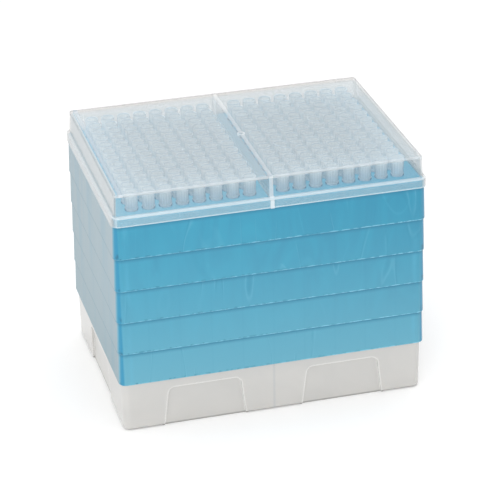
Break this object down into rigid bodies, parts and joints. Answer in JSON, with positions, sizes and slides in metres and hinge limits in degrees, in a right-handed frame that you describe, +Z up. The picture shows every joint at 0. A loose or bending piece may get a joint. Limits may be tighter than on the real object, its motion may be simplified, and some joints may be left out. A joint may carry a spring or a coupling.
{
  "type": "box of pipette tips",
  "caption": "Stack of nested blue trays filled with fine conical pipette tips, on a hollow white base, under a clear lift-off lid with a partition.",
  "frame": {"origin": "middle of the base's underside, on the surface it stands on", "axes": "+X along the long side, +Y towards the back, +Z up"},
  "size_m": [0.1702, 0.1238, 0.1381],
  "materials": {
    "base_white": "natural translucent polypropylene, satin",
    "tray_blue": "translucent blue polypropylene, satin",
    "tip_natural": "clear natural polypropylene, smooth",
    "lid_clear": "clear polystyrene, polished"
  },
  "bodies": {
    "rack": {"base": "base_white", "tray_1": "tray_blue", "tray_2": "tray_blue", "tray_3": "tray_blue", "tray_4": "tray_blue", "tray_5": "tray_blue", "tips_left_1": "tip_natural", "tips_left_2": "tip_natural", "tips_left_3": "tip_natural", "tips_left_4": "tip_natural", "tips_left_5": "tip_natural", "tips_right_1": "tip_natural", "tips_right_2": "tip_natural", "tips_right_3": "tip_natural", "tips_right_4": "tip_natural", "tips_right_5": "tip_natural"},
    "lid": {"lid": "lid_clear"}
  },
  "joints": [
    {"name": "lid_lift", "type": "slide", "parent": "rack", "child": "lid", "axis": [0, 0, 1], "range_m": [0, 0.06]}
  ]
}
